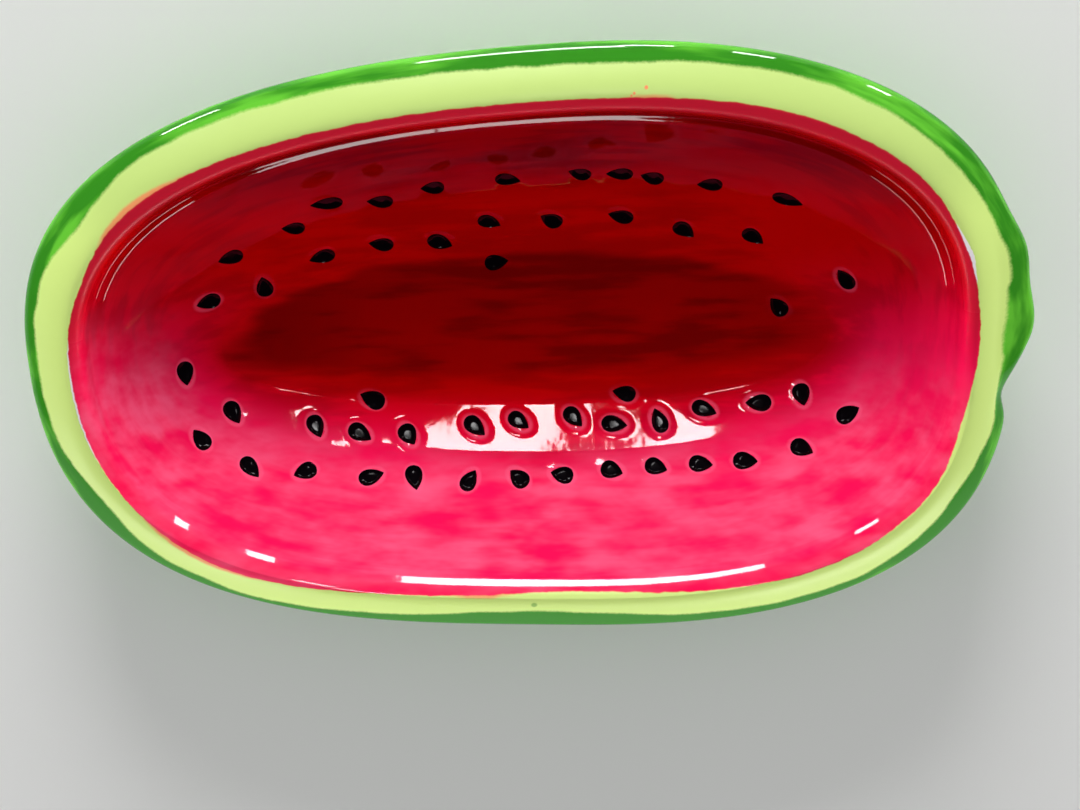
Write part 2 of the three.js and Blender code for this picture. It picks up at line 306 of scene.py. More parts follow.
RIM_SQUARENESS = 2.58
FLOOR_SQUARENESS = 2.1
RIM_REACH = (LENGTH - WIDTH) / 2
FLOOR_REACH = (FLOOR_LENGTH - FLOOR_WIDTH) / 2
FLOOR_DROOP = 0.008  # how far the floor's ends bend to the near side
EGG = 0.023  # three broad waves round the outline, which blunt the stem end
WANDER = 0.006  # and five weaker ones, which make it uneven
WANDER_WAVES = 5
WANDER_BEARING = math.radians(15)
HUB = (0.00065, -0.00043)  # where the section's axis stands from the middle of the outline

# Each lobe of the leaf: where it is across the end, how far it stands out, its reach either way.
LEAF_LOBES = [
    (0.004, 0.0066, 0.015, 0.019),
    (0.033, 0.0034, 0.012, 0.012),
    (-0.024, -0.0032, 0.007, 0.009),
]
NEAR_SIDE = (0.05, -0.50)  # sines of the bearings between which the lip grows gentler
LEAF_START = EDGE - 0.009  # the ring where the swelling starts
LEAF_TIP = 0.009  # the height where it ends under the rind

AROUND = 456  # how many facets go once round
EVENING = 0.18  # brings more of the facets to the long sides
WELD = 0.00001
DIMPLE_DEPTH = 0.0004
DIMPLES_FADE = (0.050, 0.058)  # between these rings the dips grow shallower
UPPER_DIMPLES = 0.2  # and this share of their depth is left
DIMPLE_START = 0.85  # from where to where a dip runs out, as shares of the seed's outline
DIMPLE_REACH = 1.65
WAVE_DEPTH = 0.0002
WAVES_PER_METRE = (14, 26, 26)
WAVES_END = (0.150, 0.175)  # they fade between these ways down the rind
SEED_UNLIKENESS = 0.07
SHARP = math.radians(28)  # an edge with a sharper turn than this isn't shaded smooth


class Field:
    """A number that varies over a node tree. Its sums and products are Math nodes."""

    def __init__(self, socket):
        self.socket = socket

    def maths(self, operation, *others):
        tree = self.socket.id_data
        return Field(add(tree, "ShaderNodeMath", (self, *others), operation=operation))

    def __add__(self, other):
        return self.maths("ADD", other)

    def __sub__(self, other):
        return self.maths("SUBTRACT", other)

    def __rsub__(self, other):
        return self * -1 + other

    def __mul__(self, other):
        return self.maths("MULTIPLY", other)

    def __truediv__(self, other):
        return self.maths("DIVIDE", other)

    def __rtruediv__(self, other):
        return self**-1 * other

    def __pow__(self, other):
        return self.maths("POWER", other)

    __radd__ = __add__
    __rmul__ = __mul__

    def held(self):
        """Holds the number between 0 and 1."""
        return self.maths("MAXIMUM", 0).maths("MINIMUM", 1)

    def ramp(self, start, end):
        """Goes softly from 0 at start to 1 at end."""
        t = ((self - start) / (end - start)).held()
        return t * t * (3 - 2 * t)


def add(tree, kind, inputs=(), output=0, **settings):
    """Adds a node, feeds its inputs by place or by name, and returns one of its outputs."""
    new = tree.nodes.new(kind)
    for name, value in settings.items():
        setattr(new, name, value)
    for key, value in inputs.items() if isinstance(inputs, dict) else enumerate(inputs):
        value = value.socket if isinstance(value, Field) else value
        if isinstance(value, bpy.types.NodeSocket):
            tree.links.new(value, new.inputs[key])
        else:
            new.inputs[key].default_value = value
    return new.outputs[output]


FORM_SIZES = {
    "Rows": ROWS,
    "Around": AROUND,
    "Stamp Rows": len(STAMP_PROFILE),
    "Seed Sides": SEED_SIDES,
    "Random Seed": 4,
    "Floor Edge": FLOOR_EDGE,
    "Crest": CREST,
    "Floor Reach": FLOOR_REACH,
    "Rim Reach": RIM_REACH,
    "Floor Squareness": FLOOR_SQUARENESS,
    "Rim Squareness": RIM_SQUARENESS,
    "Floor Droop": FLOOR_DROOP,
    "Egg": EGG,
    "Wander": WANDER,
    "Seed Length": SEED_LENGTH,
    "Seed Width": SEED_WIDTH,
    "Dimple Depth": DIMPLE_DEPTH,
    "Dimple Reach": DIMPLE_REACH,
    "Wave Depth": WAVE_DEPTH,
}
MATERIAL_NAMES = ("Glaze", "Seed Glaze", "Bare Clay")
bowl_form = bpy.data.node_groups.new("bowl form", "GeometryNodeTree")
sockets = bowl_form.interface
sockets.new_socket("Geometry", in_out="OUTPUT", socket_type="NodeSocketGeometry")
sockets.new_socket("Geometry", in_out="INPUT", socket_type="NodeSocketGeometry")
for name, value in FORM_SIZES.items():
    kind = "NodeSocketInt" if isinstance(value, int) else "NodeSocketFloat"
    sockets.new_socket(name, in_out="INPUT", socket_type=kind)
for name in MATERIAL_NAMES:
    sockets.new_socket(name, in_out="INPUT", socket_type="NodeSocketMaterial")
given = bowl_form.nodes.new("NodeGroupInput").outputs


def node(kind, inputs=(), output=0, **settings):
    return add(bowl_form, kind, inputs, output, **settings)


def size(name):
    return Field(given[name])


def named(name, data_type="FLOAT"):
    return node("GeometryNodeInputNamedAttribute", {"Name": name}, data_type=data_type)


def vectors(operation, *inputs, output=0):
    return node("ShaderNodeVectorMath", inputs, output, operation=operation)


def dot(a, b):
    return Field(vectors("DOT_PRODUCT", a, b, output=1))


def scaled(vector, factor):
    return node("ShaderNodeVectorMath", {"Vector": vector, "Scale": factor}, operation="SCALE")


def vector(x, y, z):
    return node("ShaderNodeCombineXYZ", (x, y, z))


def parts(of_vector):
    outputs = node("ShaderNodeSeparateXYZ", (of_vector,)).node.outputs
    return [Field(output) for output in outputs]


def stored(geometry, name, value, data_type="FLOAT", domain="POINT"):
    inputs = {"Geometry": geometry, "Name": name, "Value": value}
    return node(
        "GeometryNodeStoreNamedAttribute", inputs, data_type=data_type, domain=domain
    )


def sampled(geometry, value, index, data_type="FLOAT"):
    inputs = {"Geometry": geometry, "Value": value, "Index": index}
    return node("GeometryNodeSampleIndex", inputs, data_type=data_type)


def on_surface(mesh, value, data_type="FLOAT"):
    inputs = {"Mesh": mesh, "Value": value}
    return node("GeometryNodeSampleNearestSurface", inputs, data_type=data_type)


def placed(geometry, position):
    return node("GeometryNodeSetPosition", {"Geometry": geometry, "Position": position})


def shifted(geometry, offset):
    return node("GeometryNodeSetPosition", {"Geometry": geometry, "Offset": offset})


def drawn_as(kind):
    chosen = Field(named("kind")).maths("COMPARE", kind, 0.1)
    inputs = {"Geometry": given["Geometry"], "Selection": chosen}
    return node("GeometryNodeSeparateGeometry", inputs)


def closed(mesh):
    return node("GeometryNodeMergeByDistance", {"Geometry": mesh, "Distance": WELD})


def turning(profile, rows, sides):
    """A grid whose rows stand for the profile's points and whose columns go once round."""
    grid = node("GeometryNodeMeshGrid", {"Vertices X": rows, "Vertices Y": sides + 1})
    index = Field(node("GeometryNodeInputIndex"))
    row = (index / (sides + 1)).maths("FLOOR")
    turn = (index - row * (sides + 1)) * math.tau / sides
    return grid, row, turn, parts(sampled(profile, POSITION, row, "FLOAT_VECTOR"))


POSITION = node("GeometryNodeInputPosition")
NORMAL = node("GeometryNodeInputNormal")


def plan(bearing, ring, droop):
    """Where a ring of the round section passes at a bearing once it is bent to the outline."""
    wall = ((ring - size("Floor Edge")) / (size("Crest") - size("Floor Edge"))).held()
    floor = (ring / size("Floor Edge")).maths("MINIMUM", 1)
    power = size("Floor Squareness") * (1 - wall) + size("Rim Squareness") * wall
    reach = (size("Floor Reach") * (1 - wall) + size("Rim Reach") * wall) * floor
    cosine, sine = bearing.maths("COSINE"), bearing.maths("SINE")
    total = cosine.maths("ABSOLUTE") ** power + sine.maths("ABSOLUTE") ** power
    square = total ** (-1 / power)
    wander = ((bearing - WANDER_BEARING) * WANDER_WAVES).maths("COSINE") * size("Wander") * wall
    stretch = square * (1 - (bearing * 3).maths("COSINE") * size("Egg") + wander)
    bend = (1 - wall) ** 2 * (cosine * square) ** 2 * floor * droop
    return (ring + reach) * cosine * stretch, ring * sine * stretch - bend


# The bare casting: the section's points turned, bent to the plan and swollen into the leaf.
profile = drawn_as(SECTION)
grid, row, turn, (ring, _, height) = turning(profile, size("Rows"), size("Around"))
bearing = turn + (turn * 2).maths("SINE") * EVENING
way = Field(sampled(profile, named("way"), row))
near = bearing.maths("SINE").ramp(*NEAR_SIDE)
height = height * (1 - near) + Field(sampled(profile, named("near_height"), row)) * near
x, y = plan(bearing, ring, way.maths("LESS_THAN", CREST_AT) * size("Floor Droop"))
swelling = x * 0
for at, out, front, back in LEAF_LOBES:
    reach = y.maths("GREATER_THAN", at) * (back - front) + front
    swelling += (((y - at) / reach) ** 2 * -1).maths("EXPONENT") * out
above = way.maths("LESS_THAN", ROLL_AT)
on_rind = (1 - above) * height.ramp(LEAF_TIP, HEIGHT - ROLL_DROP)
share = above * ring.ramp(LEAF_START, EDGE) + on_rind
x += swelling * share * x.maths("GREATER_THAN", 0)
grid = stored(grid, "way", way)
stroke = vector(bearing.maths("COSINE"), bearing.maths("SINE"), way)
grid = stored(grid, "stroke", stroke, "FLOAT_VECTOR")
bare = closed(placed(grid, vector(x + HUB[0], y + HUB[1], height)))

# The seeds' places on the casting, each with the way it faces and the way its tip points.
ring, _, height = parts(POSITION)
x, y = plan(Field(named("bearing")), ring, size("Floor Droop"))
seed_points = stored(drawn_as(SEED), "ring", ring)
seed_points = placed(seed_points, vector(x + HUB[0], y + HUB[1], height))
facing = on_surface(bare, NORMAL, "FLOAT_VECTOR")
seed_points = stored(seed_points, "facing", facing, "FLOAT_VECTOR")
facing = named("facing", "FLOAT_VECTOR")
tip = Field(named("tip"))
heading = vector(tip.maths("COSINE"), tip.maths("SINE"), 0)
level_heading = vectors("SUBTRACT", heading, scaled(facing, dot(heading, facing)))
seed_points = stored(
    seed_points, "forward", vectors("NORMALIZE", level_heading), "FLOAT_VECTOR"
)
forward = named("forward", "FLOAT_VECTOR")

# The dip of the clay round the nearest seed, and the slow waves of the sponged surface.
nearest = node("GeometryNodeSampleNearest", (seed_points,))
seed_place = sampled(seed_points, POSITION, nearest, "FLOAT_VECTOR")
seed_facing = sampled(seed_points, facing, nearest, "FLOAT_VECTOR")
seed_forward = sampled(seed_points, forward, nearest, "FLOAT_VECTOR")
seed_stretch = Field(sampled(seed_points, named("stretch"), nearest))
away = vectors("SUBTRACT", POSITION, seed_place)
lengthways = dot(away, seed_forward) * 2 / (size("Seed Length") * seed_stretch)
sideways = dot(away, vectors("CROSS_PRODUCT", seed_facing, seed_forward)) * 2 / size("Seed Width")
share = (lengthways**2 + sideways**2) ** 0.5
seed_ring = Field(sampled(seed_points, named("ring"), nearest))
press = 1 - seed_ring.ramp(*DIMPLES_FADE) * (1 - UPPER_DIMPLES)
in_hollow = Field(named("way")).maths("LESS_THAN", CREST_AT)
dimple = (1 - share.ramp(DIMPLE_START, size("Dimple Reach"))) * in_hollow
dented = stored(bare, "dimple", dimple)
waves = {
    "Vector": vectors("MULTIPLY", POSITION, vector(*WAVES_PER_METRE)),
    "W": size("Random Seed"),
    "Scale": 1.0,
    "Detail": 1.0,
}
wave = Field(node("ShaderNodeTexNoise", waves, noise_dimensions="4D")) - 0.5
wave = wave * size("Wave Depth") * (1 - Field(named("way")).ramp(*WAVES_END))
offset = wave - Field(named("dimple")) * press * size("Dimple Depth")
casting = shifted(dented, scaled(NORMAL, offset))

# The stamps, one at each seed, each a little unlike the next.
grid, row, turn, (share, _, height) = turning(
    drawn_as(STAMP), size("Stamp Rows"), size("Seed Sides")
)
taper = (turn / 2).maths("SINE").maths("ABSOLUTE") ** SEED_TAPER
x = size("Seed Length") / 2 * turn.maths("COSINE")
y = size("Seed Width") / 2 * SEED_FILL * taper * turn.maths("SINE")
stamp = closed(placed(grid, vector(x * share, y * share, height)))
stamp = stored(stamp, "stamped", True, "BOOLEAN", "FACE")
stamp_places = placed(seed_points, on_surface(casting, POSITION, "FLOAT_VECTOR"))
turned_to = node(
    "FunctionNodeAxesToRotation", (facing, forward), primary_axis="Z", secondary_axis="X"
)
unlike = node(
    "FunctionNodeRandomValue",
    {0: (1 - SEED_UNLIKENESS,) * 3, 1: (1 + SEED_UNLIKENESS,) * 3, "Seed": size("Random Seed")},
    data_type="FLOAT_VECTOR",
)
own_size = vectors("MULTIPLY", unlike, vector(Field(named("stretch")), 1, 1))
stamps = node(
    "GeometryNodeInstanceOnPoints",
    {"Points": stamp_places, "Instance": stamp, "Rotation": turned_to, "Scale": own_size},
)

# The underside of the foot ring, which is wiped bare, and then the cut itself.
wiped = Field(named("way"))
wiped = wiped.maths("GREATER_THAN", FOOT_HEAD_AT) * wiped.maths("LESS_THAN", RECESS_AT)
casting = stored(casting, "wiped", wiped, "BOOLEAN", "FACE")
cut = node(
    "GeometryNodeMeshBoolean",
    {"Mesh 1": casting, "Mesh 2": stamps},
    operation="DIFFERENCE",
    solver="MANIFOLD",
)
for name, data_type in (("way", "FLOAT"), ("dimple", "FLOAT"), ("stroke", "FLOAT_VECTOR")):
    cut = stored(cut, name, on_surface(casting, named(name, data_type), data_type), data_type)

# Smooth shading, apart from the sharp edges of the seeds and the foot ring, and the finishes.
angle = Field(node("GeometryNodeInputMeshEdgeAngle"))
cut = node("GeometryNodeSetShadeSmooth", {"Geometry": cut}, domain="FACE")
inputs = {"Geometry": cut, "Selection": angle.maths("GREATER_THAN", SHARP), "Shade Smooth": False}
cut = node("GeometryNodeSetShadeSmooth", inputs, domain="EDGE")
finished = node("GeometryNodeRealizeInstances", (cut,))
for name, where in (
    ("Glaze", True),
    ("Bare Clay", named("wiped", "BOOLEAN")),
    ("Seed Glaze", named("stamped", "BOOLEAN")),
):
    inputs = {"Geometry": finished, "Selection": where, "Material": given[name]}
    finished = node("GeometryNodeSetMaterial", inputs)
bowl_form.links.new(finished, bowl_form.nodes.new("NodeGroupOutput").inputs[0])

# ---- The glazed bowl: its paint and glaze -------------------------------------------------------
# The clay is painted by hand with underglaze: thin coats of red drawn lengthways over the hollow,
# opaque lime over the rim, two greens over the rind and black in the seeds. A thick clear glaze
# covers it all, apart from the underside of the foot ring, which is wiped bare.

CRIMSON = (0.17, 0.0002, 0.0004, 1)
RED = (0.60, 0.0003, 0.0006, 1)
# Scarlet, rose and pink are laid on the near side, partly as painted light:
SCARLET = (0.80, 0.0005, 0.0180, 1)
ROSE = (0.96, 0.006, 0.092, 1)
PINK = (0.97, 0.120, 0.250, 1)
# A lighter red on the lip's top strip: painted light.
LIT_LIP_RED = (0.52, 0.0040, 0.0240, 1)
ORANGE = (0.82, 0.200, 0.090, 1)
WHITE = (0.80, 0.740, 0.800, 1)
LIME = (0.545, 0.705, 0.195, 1)
# The far rim's lime in painted shade:
SHADED_LIME = (0.440, 0.585, 0.165, 1)
GREEN = (0.110, 0.450, 0.032, 1)
DARK_GREEN = (0.030, 0.210, 0.012, 1)
# A painted highlight on the green:
GREEN_HIGHLIGHT = (0.260, 0.620, 0.140, 1)
BLACK = (0.0025, 0.0015, 0.0025, 1)
CLAY = (0.78, 0.720, 0.620, 1)

# Where red ends and green begins, as ways along the section, and where the brush strays from
# them: the bearing in degrees, how far round it lasts in degrees, and how far in millimetres.
RED_TO = 0.1145
RED_STRAYS = [
    (25, 9, -1.5), (60, 12, 1), (140, 12, 1), (160, 8, -1.5), (230, 14, 3.5), (275, 12, -2),
    (305, 9, 1), (340, 9, -1.5), (0, 9, 1.5),
]
GREEN_FROM = 0.1295
GREEN_STRAYS = [
    (1, 10, -3), (35, 14, -3.5), (85, 18, -2), (150, 8, -4.5), (208, 10, -5.5), (237, 8, 1.5),
    (270, 15, -7), (327, 12, -4.5),
]

# Where bare white shows between the two, and where thin red runs over the lime.
GAPS = [(21, 5, 1.6), (186, 14, 0.7)]
OVERLAPS = [(75, 4, 1.0), (143, 8, 2.1), (224, 10, 1.8), (262, 5, 1.2)]

# Drips and specks on the rim: their places and reach in millimetres.
RED_SPECKS = [(44.3, 101.5, 0.9), (39.9, 99.7, 0.7), (38.9, 98.9, 0.6)]
DARK_SPECKS = [(164.0, 60.5, 0.5), (-88.1, 103.0, 0.5), (-2.2, -100.9, 1.5)]

# How close the brush marks and the glaze's ripples lie: how many to a metre, or to a radian round
# the bowl, each way.
FLOOR_STREAKS = (28, 170, 170)
WALL_STREAKS = (4, 4, 190)
BLOTCHES = (30, 75, 75)
SMALL_BLOTCHES = (70, 150, 150)
MOTTLES = (14, 45, 45)
DARK_FLOOR_PATCHES = (12, 50, 50)
RIND_STROKES = (3.5, 3.5, 150)
RIND_PATCHES = (12, 30, 30)
RED_BRISTLES = (30, 30, 0)
GREEN_BRISTLES = (9, 9, 0)
GREEN_GRAIN = (900, 900, 900)
RIPPLES = (120, 120, 120)

# Where each coat and each painted light starts and where it covers in full: ways along the
# section in metres.
STREAKS_TURN = (0.045, 0.080)  # from lengthways on the floor to round the bowl on the wall
SCARLET_UP = (0.026, 0.044)
ROSE_UP = (0.034, 0.062)
PINK_UP = (0.042, 0.068)
# The lip's top strip, painted lighter as lit:
LIT_LIP_STRIP = (0.1070, 0.1130)
RIND_EDGE = (0.139, 0.132)  # the darker strokes over the rolled edge
# The painted highlight under the far side's rolled edge:
HIGHLIGHT_FROM = (0.1370, 0.1395)  # the pale line under it
HIGHLIGHT_TO = (0.1450, 0.1420)
MATT_FROM = (0.1050, 0.1070)

# The same, as places across the bowl or along it, with the far side and the stem end positive.
# The near side's scarlet, rose and pink are partly thin coats and partly painted light, where the
# near wall faces the light:
SCARLET_NEAR = (-0.006, -0.048)
ROSE_NEAR = (-0.028, -0.072)
ROUND_THE_ENDS = 0.35  # how much further to the far side scarlet and rose reach at the ends
PINK_NEAR = (0, -0.05)
PINK_END = (-0.10, -0.14)
# The darker floor, partly painted shadow, fades sooner and softer on the near side and is deeper at
# the left end:
DARK_FLOOR_NEAR = (-0.008, -0.030)
DARK_FLOOR_SOFT = (0, -0.02)
DARK_FLOOR_END = (-0.05, -0.10)
# The far side, where a painted shade deepens the wall and the lime of the rim:
SHADED_FAR_SIDE = (0.045, 0.070)
# The near side, where a painted shade darkens the rind's green:
SHADED_RIND_SIDE = (-0.04, -0.10)
# The far side, where the painted highlight under the rolled edge lies:
HIGHLIGHT_SIDE = (-0.06, 0)
FAR_LIP = (-0.02, 0.02)

# The darker floor, partly deeper paint and partly a painted shadow of the far rim: between which
# ways along the section it fades.
DARK_FLOOR_FROM = 0.0280
DARK_FLOOR_TO = 0.0325
DARK_FLOOR_SHORTER = 0.014  # how much sooner it starts to fade on the near side
DARK_FLOOR_SOFTER = 0.010  # and how much further it takes to fade there

# How ragged the brush leaves each edge, and how sharp: the two distances from the edge's line
# between which one colour gives way to the next. The gaps and overlaps end where they get narrow.
DARK_FLOOR_RAGGED = 0.022
RED_RAGGED = 0.0012
GREEN_RAGGED = 0.003
GREEN_ROUGH = 0.001
RED_SHARP = (-0.0003, 0.0003)
GREEN_SHARP = (-0.0009, 0.0009)
GAP_SHARP = (0.0002, -0.0002)
GAP_NARROW = (0.0002, 0.0004)
OVERLAP_SHARP = (0.0006, -0.0008)
OVERLAP_NARROW = (0.0003, 0.0012)

# Which part of a brush noise shows as a mark, and which part of a dip as the pink ring in it.
THIN_MARKS = (0.37, 0.70)
DEEP_MARKS = (0.44, 0.60)
DARK_MARKS = (0.42, 0.58)
RING_FROM = (0.25, 0.8)
RING_TO = (0.9, 1.0)

# How strongly each coat, and each painted light and shade, covers.
# The darker floor, partly deeper paint and partly painted shadow:
DARK_FLOOR = 0.58
DARK_FLOOR_AT_END = 0.25
# The far wall's painted shade:
FAR_PAINTED_SHADE = 0.62
MOTTLING = 0.34
# The pink, in thin coats and in the seeds' dips, is partly painted light on the near side:
PINK_COVER = 0.85
SEED_RINGS = 0.5
# The painted highlight under the far rolled edge:
HIGHLIGHT_COVER = 0.7
OVERLAP_COVER = 0.8
RED_SPECK = 0.9
DARK_SPECK = 0.6
# The painted shade on the near side's green:
PAINTED_RIND_SHADE = 0.16
RIND_EDGE_DARKER = 0.05

GLOSS = 0.035  # the roughness of the clear glaze
SATIN = 0.30  # and over the thick lime and the far lip, which drink it
GLAZE_SHINE = 0.24
SEED_GLOSS = 0.11
SEED_SHINE = 0.16
GLAZE_RIPPLE = 0.00003
CLAY_ROUGHNESS = 0.85


def new_material(name):
    """A material with an empty node tree."""
    made = bpy.data.materials.new(name)
    made.use_nodes = True
    made.node_tree.nodes.clear()
    return made


def coat(tree, inputs):
    """Ends a material in one Principled surface."""
    surface = tree.nodes.new("ShaderNodeOutputMaterial").inputs["Surface"]
    tree.links.new(add(tree, "ShaderNodeBsdfPrincipled", inputs), surface)


painted = new_material("painted glaze")
paint = painted.node_tree


def paint_vectors(operation, a, b, output=0):
    return add(paint, "ShaderNodeVectorMath", (a, b), output, operation=operation)


def carried(name, output):
    """What the mesh carries under a name: output 1 is a vector and 2 a number."""
    return add(paint, "ShaderNodeAttribute", output=output, attribute_name=name)


def brushed(vector, marks, detail=2.0):
    """Noise in brush strokes, from about 0 to 1."""
    inputs = {"Vector": paint_vectors("MULTIPLY", vector, marks), "Scale": 1.0, "Detail": detail}
    return Field(add(paint, "ShaderNodeTexNoise", inputs))


def ragged(vector, marks, reach, detail=2.0):
    """The same noise as a shift of an edge, to either side."""
    return (brushed(vector, marks, detail) - 0.5) * reach


def over(under, top, share):
    """One colour over another, by the share of it that covers."""
    return add(paint, "ShaderNodeMix", {0: share, 6: under, 7: top}, 2, data_type="RGBA")


def strayed(strays):
    """How far the brush strays at each bearing, in metres."""
    total = 0
    for bearing, spread, millimetres in strays:
        toward = (math.cos(math.radians(bearing)), math.sin(math.radians(bearing)), 0)
        across = Field(paint_vectors("DOT_PRODUCT", round_bowl, toward, 1))
        spot = ((across - 1) * 2 / math.radians(spread) ** 2).maths("EXPONENT")
        total += spot * (millimetres / 1000)
    return total


def specks(places):
    """1 in each speck of the rim's upper side and 0 elsewhere."""
    total = 0
    for x, y, reach in places:
        away = Field(paint_vectors("DISTANCE", flat_place, (x / 1000, y / 1000, 0), 1))
        total += away.ramp(reach / 1000, reach / 2000)
    return total * way.maths("LESS_THAN", ROLL_AT)


way = Field(carried("way", 2))
dimple = Field(carried("dimple", 2))
stroke = carried("stroke", 1)
round_bowl = paint_vectors("MULTIPLY", stroke, (1, 1, 0))
place = add(paint, "ShaderNodeTexCoord", output=3)
flat_place = paint_vectors("MULTIPLY", place, (1, 1, 0))
along_bowl = Field(add(paint, "ShaderNodeSeparateXYZ", (place,), 0))
across_bowl = Field(add(paint, "ShaderNodeSeparateXYZ", (place,), 1))

# Red: thin coats in streaks and blotches, lengthways on the floor and round the bowl on the wall.
# It is scarlet, then rosy and thin towards the near side, and pink where it is thinnest. That
# lighter, pinker near side, with the pink at the left end and in the seeds' dips there, is partly
# thin coats and partly painted light, where those walls face the light.
on_wall = way.ramp(*STREAKS_TURN)
streaks = brushed(place, FLOOR_STREAKS, 3) * (1 - on_wall)
streaks += brushed(stroke, WALL_STREAKS, 3) * on_wall
blotches = brushed(place, BLOTCHES, 3) * 0.6 + brushed(place, SMALL_BLOTCHES) * 0.4
nearness = across_bowl + along_bowl.maths("ABSOLUTE") * -ROUND_THE_ENDS
scarlet = nearness.ramp(*SCARLET_NEAR) * way.ramp(*SCARLET_UP)
rosy = nearness.ramp(*ROSE_NEAR) * way.ramp(*ROSE_UP)
paler = (across_bowl.ramp(*PINK_NEAR) + along_bowl.ramp(*PINK_END) * 0.8).held()
thin_and_lit = (streaks * 0.25 + blotches * 0.75).ramp(*THIN_MARKS) * rosy * way.ramp(*PINK_UP) * paler
in_ring = dimple.ramp(*RING_FROM) * (1 - dimple.ramp(*RING_TO))

# Crimson: the floor made darker, partly as deeper paint and partly as a painted shadow of the far
# rim; a painted shade over the far wall, which faces away from the light; and mottles all over.
shade_on_far_side = across_bowl.ramp(*SHADED_FAR_SIDE)
mottle = (streaks * 0.5 + brushed(place, MOTTLES) * 0.5).ramp(*DEEP_MARKS)
dark_floor = way + ragged(place, DARK_FLOOR_PATCHES, DARK_FLOOR_RAGGED, 3)
dark_floor += across_bowl.ramp(*DARK_FLOOR_NEAR) * DARK_FLOOR_SHORTER
dark_floor_to = across_bowl.ramp(*DARK_FLOOR_SOFT) * DARK_FLOOR_SOFTER + DARK_FLOOR_TO
dark_floor = 1 - dark_floor.ramp(DARK_FLOOR_FROM, dark_floor_to)
deepness = dark_floor * (along_bowl.ramp(*DARK_FLOOR_END) * DARK_FLOOR_AT_END + DARK_FLOOR)
deepness = deepness + shade_on_far_side * FAR_PAINTED_SHADE + mottle * MOTTLING * (1 - rosy * 0.8)

flesh = over(over(over(RED, SCARLET, scarlet), ROSE, rosy), CRIMSON, deepness.held())
flesh = over(over(flesh, PINK, thin_and_lit * PINK_COVER), PINK, in_ring * scarlet * SEED_RINGS)
# The lip's top strip is painted a lighter red, mostly on the far side: painted light where it faces
# the light, against the far wall's painted shade.
flesh = over(flesh, LIT_LIP_RED, way.ramp(*LIT_LIP_STRIP) * (1 - rosy * 0.7))

# Green: dark lengthways strokes over a lighter wash, darker on the near side as painted shade,
# and a painted highlight as a pale line just under the rolled edge of the far side.
dark = brushed(stroke, RIND_STROKES, 3) * 0.7 + brushed(place, RIND_PATCHES) * 0.3
# The near side's green is darker: a painted shade.
dark += across_bowl.ramp(*SHADED_RIND_SIDE) * PAINTED_RIND_SHADE + way.ramp(*RIND_EDGE) * RIND_EDGE_DARKER
pale = way.ramp(*HIGHLIGHT_FROM) * way.ramp(*HIGHLIGHT_TO) * across_bowl.ramp(*HIGHLIGHT_SIDE)
rind = over(over(GREEN, DARK_GREEN, dark.ramp(*DARK_MARKS)), GREEN_HIGHLIGHT, pale * HIGHLIGHT_COVER)

# The rim: lime between the two edges, with gaps, overlaps and specks. The far side's lime is
# painted deeper: a painted shade that evens out the back lamp's stronger light there.
red_edge = way - RED_TO - strayed(RED_STRAYS)
red_edge += ragged(stroke, RED_BRISTLES, RED_RAGGED)
green_edge = way - GREEN_FROM - strayed(GREEN_STRAYS)
green_edge += ragged(stroke, GREEN_BRISTLES, GREEN_RAGGED) + ragged(place, GREEN_GRAIN, GREEN_ROUGH)
gaps = strayed(GAPS)
overlaps = strayed(OVERLAPS)
is_green = green_edge.ramp(*GREEN_SHARP)
is_lime = red_edge.ramp(*RED_SHARP)
is_matt = is_lime + way.ramp(*MATT_FROM) * across_bowl.ramp(*FAR_LIP)
is_gap = (red_edge - gaps).ramp(*GAP_SHARP) * gaps.ramp(*GAP_NARROW)
is_overlap = (red_edge - overlaps).ramp(*OVERLAP_SHARP) * overlaps.ramp(*OVERLAP_NARROW)
rim = over(over(LIME, SHADED_LIME, shade_on_far_side), rind, is_green)
rim = over(over(rim, ORANGE, is_overlap * OVERLAP_COVER), WHITE, is_gap)
rim = over(rim, ORANGE, specks(RED_SPECKS) * RED_SPECK)
rim = over(rim, DARK_GREEN, specks(DARK_SPECKS) * DARK_SPECK)

ripple = {"Height": brushed(place, RIPPLES), "Distance": GLAZE_RIPPLE, "Strength": 1.0}
glaze = {
    "Base Color": over(flesh, rim, is_lime),
    "Roughness": is_matt.held() * (1 - is_green) * (SATIN - GLOSS) + GLOSS,
    "Specular IOR Level": GLAZE_SHINE,
    "Normal": add(paint, "ShaderNodeBump", ripple),
}
coat(paint, glaze)

seed_black = new_material("black seed glaze")
black_glaze = {"Base Color": BLACK, "Roughness": SEED_GLOSS, "Specular IOR Level": SEED_SHINE}
coat(seed_black.node_tree, black_glaze)

bare_clay = new_material("bare clay")
coat(bare_clay.node_tree, {"Base Color": CLAY, "Roughness": CLAY_ROUGHNESS})

bowl = bpy.data.objects.new("glazed_bowl", drawing)
bpy.context.scene.collection.objects.link(bowl)
modifier = bowl.modifiers.new("bowl form", "NODES")
modifier.node_group = bowl_form
finishes = dict(zip(MATERIAL_NAMES, (painted, seed_black, bare_clay)))
form_inputs = {**FORM_SIZES, **finishes}
for socket in bowl_form.interface.items_tree:
    if socket.name in form_inputs:
        modifier[socket.identifier] = form_inputs[socket.name]
evaluated = bowl.evaluated_get(bpy.context.evaluated_depsgraph_get())
bowl_mesh = bpy.data.meshes.new_from_object(evaluated)
bowl_mesh.name = "glazed_bowl"
bowl.modifiers.clear()
bowl.data = bowl_mesh
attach(bowl, "root")
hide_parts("bowl")

# ---- The floor ----------------------------------------------------------------------------------
# A large matt sheet of pale paper, laid flat on a table. The bowl stands on it, and it isn't part
# of the bowl.

FLOOR_SIZE = 8.0
PAPER = (0.84, 0.84, 0.83, 1)
PAPER_ROUGHNESS = 0.9

